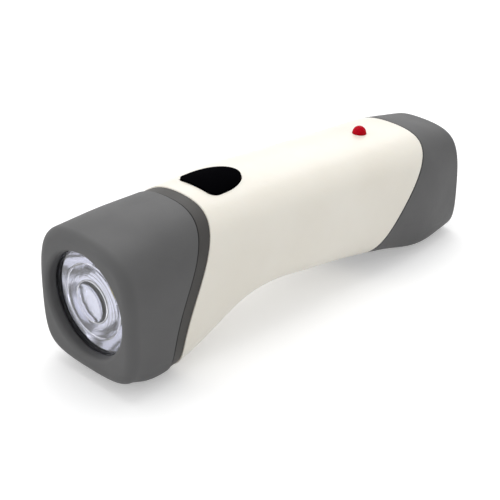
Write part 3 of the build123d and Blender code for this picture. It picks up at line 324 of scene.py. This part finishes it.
def swollen_ring(node, name):
    """Copy of a gasket, its outer skin bulged out of the seam as the pinched rubber is. Each point
    of a face that looks away from the ring's middle moves by the swell along those faces' mean
    normal, and the others stay. None comes nearer to the table than the gap over it."""
    mesh = nodes[node].data.copy()
    mesh.name = name
    loose = bmesh.new()
    loose.from_mesh(mesh)
    bmesh.ops.remove_doubles(loose, verts=loose.verts, dist=merge_gap)
    loose.to_mesh(mesh)
    loose.free()
    points = np.empty(len(mesh.vertices) * 3)
    mesh.vertices.foreach_get("co", points)
    points = points.reshape(-1, 3)
    corners = np.empty(len(mesh.polygons) * 3, int)
    mesh.polygons.foreach_get("vertices", corners)
    corners = corners.reshape(-1, 3)
    first, second, third = points[corners[:, 0]], points[corners[:, 1]], points[corners[:, 2]]
    normal = np.cross(second - first, third - first)
    size = np.maximum(np.linalg.norm(normal, axis=1, keepdims=True), no_length)
    away = (first + second + third) / 3 - (points.min(0) + points.max(0)) / 2
    away[:, 1] = 0
    away /= np.linalg.norm(away, axis=1, keepdims=True)
    skin = np.sum(normal / size * away, 1) > outward_least
    push = np.zeros_like(points)
    for side in range(3):
        np.add.at(push, corners[skin, side], normal[skin])
    push[:, 1] = 0
    length = np.linalg.norm(push, axis=1, keepdims=True)
    points += np.where(length > 0, push / np.maximum(length, no_length), 0) * gasket_swell
    points[:, 2] = np.maximum(points[:, 2], gasket_off_table)
    mesh.vertices.foreach_set("co", points.ravel())
    mesh.materials.clear()
    mesh.materials.append(black_rubber)
    mesh.update()
    ring = bpy.data.objects.new(name, mesh)
    bpy.context.scene.collection.objects.link(ring)
    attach(ring, "casing")
    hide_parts(node)


swollen_ring("bezel_gasket", "bezel_seam_ring")
swollen_ring("tail_gasket", "tail_seam_ring")


# ---- lens ------------------------------------------------------------------------------------
# Clear moulded lens, held behind the bezel's lip. Its face bows out a little, and inside it
# has a bull's-eye over the lamp and a stepped ring that spread the beam. Two dark rings painted
# into its tint, one over the stepped ring, are painted shade and painted reflection: the dark arcs that the
# grooves and the shaded bezel lip show in the lens.
def turned(name, radius, along, axis_z, count):
    """Closed surface of revolution about the lamp's axis. Point (i, j) lies at radius[i] and
    along[i], turned by 2 pi j / count. The profile is a loop, or starts and ends on the axis, and
    runs outwards on the side that faces the front."""
    radius, along = np.asarray(radius, float), np.asarray(along, float)
    angle = 2 * np.pi * np.arange(count) / count
    loop = radius[0] > 1e-9
    rims = radius if loop else radius[1:-1]
    runs = along if loop else along[1:-1]
    points = np.stack([rims[:, None] * np.cos(angle), np.repeat(runs[:, None], count, 1),
                       axis_z + rims[:, None] * np.sin(angle)], -1).reshape(-1, 3)
    rows = len(rims)
    i = np.arange(rows if loop else rows - 1)[:, None]
    j = np.arange(count)[None, :]
    following, beside = (i + 1) % rows, (j + 1) % count
    quads = np.stack([i * count + j, following * count + j,
                      following * count + beside, i * count + beside], -1).reshape(-1, 4)
    faces = quads.tolist()
    if not loop:
        first, last = len(points), len(points) + 1
        points = np.vstack([points, [0, along[0], axis_z], [0, along[-1], axis_z]])
        start = (rows - 1) * count
        faces += [[first, k, (k + 1) % count] for k in range(count)]
        faces += [[last, start + (k + 1) % count, start + k] for k in range(count)]
    mesh = bpy.data.meshes.new(name)
    mesh.from_pydata(points.tolist(), [], faces)
    mesh.shade_smooth()
    mesh.set_sharp_from_angle(angle=math.radians(32))
    piece = bpy.data.objects.new(name, mesh)
    bpy.context.scene.collection.objects.link(piece)
    return piece


lens_low, lens_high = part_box("lens")
lamp_z = (lens_low.z + lens_high.z) / 2
lens_radius = (lens_high.x - lens_low.x) / 2
lens_bow = 0.8 * mm
lens_rise = 0.3 * mm
face_radius = 17.6 * mm
eye_radius = 7.4 * mm
eye_depth = 2.6 * mm
step_radius = 12.6 * mm
step_depth = 0.55 * mm
rim_round = 0.25 * mm

# raised face from the axis out, its rounded edge, the rim behind the lip, then the back
# face in again with its step and bull's-eye
out = np.linspace(0, 1, 25)
face_r = out * (face_radius - rim_round)
face_y = lens_low.y - lens_rise - lens_bow * (1 - out ** 2)
turn = np.linspace(0, np.pi / 2, 5)[1:]
front_rim_r = np.concatenate([face_radius - rim_round + rim_round * np.sin(turn), [face_radius],
                              [lens_radius - rim_round]])
front_rim_y = np.concatenate([lens_low.y - lens_rise + rim_round * (1 - np.cos(turn)), [lens_low.y],
                              [lens_low.y]])
ridge_r = step_radius + 0.4 * mm * np.array([1.0, 0.8, 0.0, -0.8, -1.0])
ridge_y = lens_high.y + step_depth * np.array([0.0, 0.6, 1.0, 0.6, 0.0])
eye = np.linspace(0, np.pi / 2, 17)
eye_r = eye_radius * np.cos(eye)
eye_y = lens_high.y + eye_depth * np.sin(eye)
lens_piece = turned("clear_lens",
                    np.concatenate([face_r, front_rim_r, [lens_radius, lens_radius, lens_radius - rim_round],
                                    ridge_r, eye_r[:-1], [0.0]]),
                    np.concatenate([face_y, front_rim_y, [lens_low.y + rim_round, lens_high.y - rim_round,
                                    lens_high.y], ridge_y, eye_y[:-1], [lens_high.y + eye_depth]]),
                    lamp_z, 128)
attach(lens_piece, "casing")
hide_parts("lens")

clear = bpy.data.materials.new("clear_plastic")
clear.use_nodes = True
tree = clear.node_tree
shader = tree.nodes["Principled BSDF"]
shader.inputs["Transmission Weight"].default_value = 1
shader.inputs["IOR"].default_value = 1.49
place = tree.nodes.new("ShaderNodeTexCoord").outputs["Object"]
# Painted shade and reflection: the radii and widths of the dark rings painted into the lens tint, and how
# dark they go.
painted_ring_radii = ((12.5 * mm, 0.55 * mm), (9.6 * mm, 0.35 * mm))
painted_ring_darkness = 0.30
painted_ring_grey = (0.10, 0.10, 0.12, 1)
lens_tint = (0.93, 0.94, 1.0, 1)


def painted_dark_rings(tree, place, painted_rings, dark):
    """Value that falls from one to dark at each radius about the lamp's axis, over that width: dark rings of
    painted shade and reflection.
    """
    parts = tree.nodes.new("ShaderNodeSeparateXYZ")
    tree.links.new(place, parts.inputs[0])
    across = parts.outputs["X"]
    up = calculate(tree, "SUBTRACT", parts.outputs["Z"], lamp_z)
    radius = calculate(tree, "SQRT", calculate(tree, "ADD", calculate(tree, "MULTIPLY", across, across),
                                               calculate(tree, "MULTIPLY", up, up)), 0.0)
    value = None
    for centre, width in painted_rings:
        off = calculate(tree, "ABSOLUTE", calculate(tree, "SUBTRACT", radius, centre), 0.0)
        fade = tree.nodes.new("ShaderNodeMapRange")
        fade.interpolation_type = "SMOOTHSTEP"
        fade.inputs["From Max"].default_value = width
        fade.inputs["To Min"].default_value = dark
        tree.links.new(off, fade.inputs["Value"])
        value = fade.outputs["Result"] if value is None else calculate(tree, "MULTIPLY", value,
                                                                       fade.outputs["Result"])
    return value


# The lens colour runs down to the grey of the painted dark rings, which stand for shade and reflected dark
# arcs.
tint = tree.nodes.new("ShaderNodeMix")
tint.data_type = "RGBA"
tint.inputs["A"].default_value = painted_ring_grey
tint.inputs["B"].default_value = lens_tint
tree.links.new(painted_dark_rings(tree, place, painted_ring_radii, painted_ring_darkness), tint.inputs["Factor"])
tree.links.new(tint.outputs["Result"], shader.inputs["Base Color"])
hands = place_group(tree, handling, place)
tree.links.new(calculate(tree, "ADD", calculate(tree, "MULTIPLY", hands.outputs["Scratches"], 0.12), 0.015),
               shader.inputs["Roughness"])
through = tree.nodes.new("ShaderNodeBsdfTransparent")
through.inputs["Color"].default_value = (0.93, 0.94, 0.97, 1)
path = tree.nodes.new("ShaderNodeLightPath")
mix = tree.nodes.new("ShaderNodeMixShader")
tree.links.new(path.outputs["Is Shadow Ray"], mix.inputs["Fac"])
tree.links.new(shader.outputs[0], mix.inputs[1])
tree.links.new(through.outputs[0], mix.inputs[2])
tree.links.new(mix.outputs[0], tree.nodes["Material Output"].inputs["Surface"])
lens_piece.data.materials.append(clear)


# ---- reflector ---------------------------------------------------------------------------------
# Moulded bowl, metallised on the inside, in stepped bands. Each band is a slice of a paraboloid,
# set back a little from the next, so the steps show as dark rings.
bowl_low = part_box("reflector")[0]
bowl_rim = 17.0 * mm
bowl_hole = 3.6 * mm
bowl_depth = 16.5 * mm
bowl_wall = 1.2 * mm
flange_thick = 1.2 * mm
band_edges = np.array([1.0, 0.80, 0.60, 0.40, 0.22, 0.0])
band_step = 0.30 * mm
neck_length = 0.6 * mm

inner_r, inner_y = [], []
for k in range(len(band_edges) - 1):
    share = np.linspace(band_edges[k], band_edges[k + 1], 9)
    r = bowl_hole + (bowl_rim - bowl_hole) * share
    y = bowl_low.y + bowl_depth * (1 - ((r - bowl_hole) / (bowl_rim - bowl_hole)) ** 1.9)
    inner_r.append(r - band_step * (1 - (share - share[-1]) / (share[0] - share[-1])))
    inner_y.append(y)
inner_r, inner_y = np.concatenate(inner_r), np.concatenate(inner_y)
deep = bowl_low.y + bowl_depth
outer_share = np.linspace(0, 1, 15)
outer_r = bowl_hole + bowl_wall + (bowl_rim - bowl_hole) * outer_share
outer_y = deep - bowl_depth * outer_share ** 1.9 + bowl_wall
keep = outer_y > bowl_low.y + flange_thick + 0.2 * mm
outer_r, outer_y = outer_r[keep], outer_y[keep]
bowl = turned("reflector_bowl",
              np.concatenate([inner_r, [bowl_hole - band_step], [bowl_hole + bowl_wall], outer_r[1:],
                              [outer_r[-1] + 0.3 * mm], [lens_radius], [lens_radius]])[::-1],
              np.concatenate([inner_y, [deep + neck_length], [deep + neck_length], outer_y[1:],
                              [bowl_low.y + flange_thick], [bowl_low.y + flange_thick], [bowl_low.y]])[::-1],
              lamp_z, 144)
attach(bowl, "casing")
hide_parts("reflector")

silvered = bpy.data.materials.new("reflector_metal")
silvered.use_nodes = True
tree = silvered.node_tree
shader = tree.nodes["Principled BSDF"]
shader.inputs["Base Color"].default_value = (0.80, 0.80, 0.84, 1)
shader.inputs["Metallic"].default_value = 1
place = tree.nodes.new("ShaderNodeTexCoord").outputs["Object"]
skin = place_group(tree, moulded_skin, place, Grain_per_metre=900, Waves=3.0)
tree.links.new(between(tree, skin.outputs["Tone"], 0.05, 0.11), shader.inputs["Roughness"])
bump = tree.nodes.new("ShaderNodeBump")
bump.inputs["Distance"].default_value = 0.00003
tree.links.new(skin.outputs["Height"], bump.inputs["Height"])
tree.links.new(bump.outputs[0], shader.inputs["Normal"])
bowl.data.materials.append(silvered)

white_plastic = moulded_plastic("white_plastic", (0.72, 0.72, 0.70, 1), (0.66, 0.66, 0.63, 1),
                                0.35, 0.45, 2500, 0.00002)
dress(white_plastic, "reflector_retainer", "gearbox_plate", "battery_strap", "tact_plunger", "lamp_board")


# ---- lamp emitter --------------------------------------------------------------------------------
# Chip in yellow phosphor under a clear resin dome, on a white ceramic base.
phosphor = moulded_plastic("yellow_resin", (0.80, 0.66, 0.16, 1), (0.86, 0.76, 0.30, 1),
                           0.12, 0.20, 4000, 0.00001, coat=1.0)
dress(phosphor, "lamp_emitter")


# ---- power button -----------------------------------------------------------------------------------
# Black push button of a soft-touch compound, flush with the casing, with a fine even grain.
black_plastic = moulded_plastic("black_plastic", (0.0004, 0.0004, 0.0008, 1), (0.0008, 0.0008, 0.0014, 1),
                                0.42, 0.52, 3400, 0.00002, shine=0.001)
dress(black_plastic, "switch_button", "tact_switch", "generator_end_cap", "control_chip", "diodes")


# ---- red indicator ----------------------------------------------------------------------------------
# Standard red indicator lamp: a resin dome, dyed through, that stands out of the casing.
red_resin = bpy.data.materials.new("red_resin")
red_resin.use_nodes = True
tree = red_resin.node_tree
shader = tree.nodes["Principled BSDF"]
place = tree.nodes.new("ShaderNodeTexCoord").outputs["Object"]
skin = place_group(tree, moulded_skin, place, Grain_per_metre=500, Waves=1.0)
tint = tree.nodes.new("ShaderNodeMix")
tint.data_type = "RGBA"
tint.inputs["A"].default_value = (0.42, 0.002, 0.010, 1)
tint.inputs["B"].default_value = (0.50, 0.003, 0.014, 1)
tree.links.new(between(tree, skin.outputs["Tone"], 0, 1), tint.inputs["Factor"])
tree.links.new(tint.outputs["Result"], shader.inputs["Base Color"])
tree.links.new(between(tree, skin.outputs["Height"], 0.06, 0.12), shader.inputs["Roughness"])
shader.inputs["IOR"].default_value = 1.54
shader.inputs["Specular IOR Level"].default_value = 0.03
shader.inputs["Subsurface Weight"].default_value = 0.3
shader.inputs["Subsurface Radius"].default_value = (1.0, 0.02, 0.02)
shader.inputs["Subsurface Scale"].default_value = 0.002
dress(red_resin, "indicator_lamp")


# ---- metals -----------------------------------------------------------------------------------------
# Steel, aluminium, brass and copper, with the fine lines that turning and drawing leave.
def worked_metal(name, colour, tarnished, rough, rougher, lines):
    """Metal whose tool lines run along X, with a tarnish that comes and goes."""
    material = bpy.data.materials.new(name)
    material.use_nodes = True
    tree = material.node_tree
    shader = tree.nodes["Principled BSDF"]
    place = tree.nodes.new("ShaderNodeTexCoord").outputs["Object"]
    skin = place_group(tree, moulded_skin, place, Grain_per_metre=3000, Waves=1.0)
    mapping = tree.nodes.new("ShaderNodeMapping")
    mapping.inputs["Scale"].default_value = (lines, lines * 0.05, lines * 0.05)
    tree.links.new(place, mapping.inputs["Vector"])
    drawn = noise(tree, mapping.outputs[0], 1.0, 2)
    tint = tree.nodes.new("ShaderNodeMix")
    tint.data_type = "RGBA"
    tint.inputs["A"].default_value = colour
    tint.inputs["B"].default_value = tarnished
    tree.links.new(between(tree, skin.outputs["Tone"], 0, 1), tint.inputs["Factor"])
    tree.links.new(tint.outputs["Result"], shader.inputs["Base Color"])
    tree.links.new(between(tree, drawn, rough, rougher), shader.inputs["Roughness"])
    bump = tree.nodes.new("ShaderNodeBump")
    bump.inputs["Distance"].default_value = 0.00001
    tree.links.new(drawn, bump.inputs["Height"])
    tree.links.new(bump.outputs[0], shader.inputs["Normal"])
    shader.inputs["Metallic"].default_value = 1
    return material


steel = worked_metal("steel", (0.56, 0.57, 0.59, 1), (0.46, 0.46, 0.47, 1), 0.22, 0.36, 9000)
dress(steel, "lamp_screws", "board_screws", "gearbox_screws", "generator_screws", "cover_screws",
      "crank_screw", "idler_axle", "generator_can", "rotor_core", "rotor_shaft", "battery_cells",
      "crank_shaft", "fold_pin",
      "knob_spindle")
aluminium = worked_metal("aluminium", (0.80, 0.81, 0.82, 1), (0.70, 0.71, 0.72, 1), 0.34, 0.46, 5000)
dress(aluminium, "heat_sink")
brass = worked_metal("brass", (0.72, 0.52, 0.22, 1), (0.60, 0.42, 0.18, 1), 0.24, 0.38, 8000)
dress(brass, "generator_bush", "generator_pinion", "shaft_bush")
copper = worked_metal("copper", (0.80, 0.38, 0.20, 1), (0.62, 0.27, 0.13, 1), 0.30, 0.42, 4000)
dress(copper, "rotor_windings", "commutator", "generator_brushes")
magnet = worked_metal("magnet", (0.12, 0.12, 0.13, 1), (0.08, 0.08, 0.09, 1), 0.5, 0.6, 3000)
dress(magnet, "generator_magnets")


# ---- boards, gears, battery sleeve and wires -------------------------------------------------------------
# Green lacquered boards, acetal gears, shrunk blue film and red insulation.
green_board = moulded_plastic("green_board", (0.010, 0.110, 0.035, 1), (0.018, 0.150, 0.050, 1),
                              0.30, 0.40, 1800, 0.00003)
dress(green_board, "control_board", "indicator_board")
gear_plastic = moulded_plastic("gear_plastic", (0.74, 0.70, 0.58, 1), (0.68, 0.64, 0.52, 1),
                               0.36, 0.44, 2400, 0.00002)
dress(gear_plastic, "crank_gear", "idler_gear")
blue_sleeve = moulded_plastic("blue_sleeve", (0.02, 0.06, 0.26, 1), (0.03, 0.08, 0.32, 1),
                              0.18, 0.28, 700, 0.00006)
dress(blue_sleeve, "battery_sleeve", "capacitor")
red_wire = moulded_plastic("red_wire", (0.40, 0.012, 0.010, 1), (0.50, 0.020, 0.014, 1),
                           0.32, 0.40, 2000, 0.00002)
dress(red_wire, "lamp_leads", "generator_leads", "battery_leads", "indicator_leads")
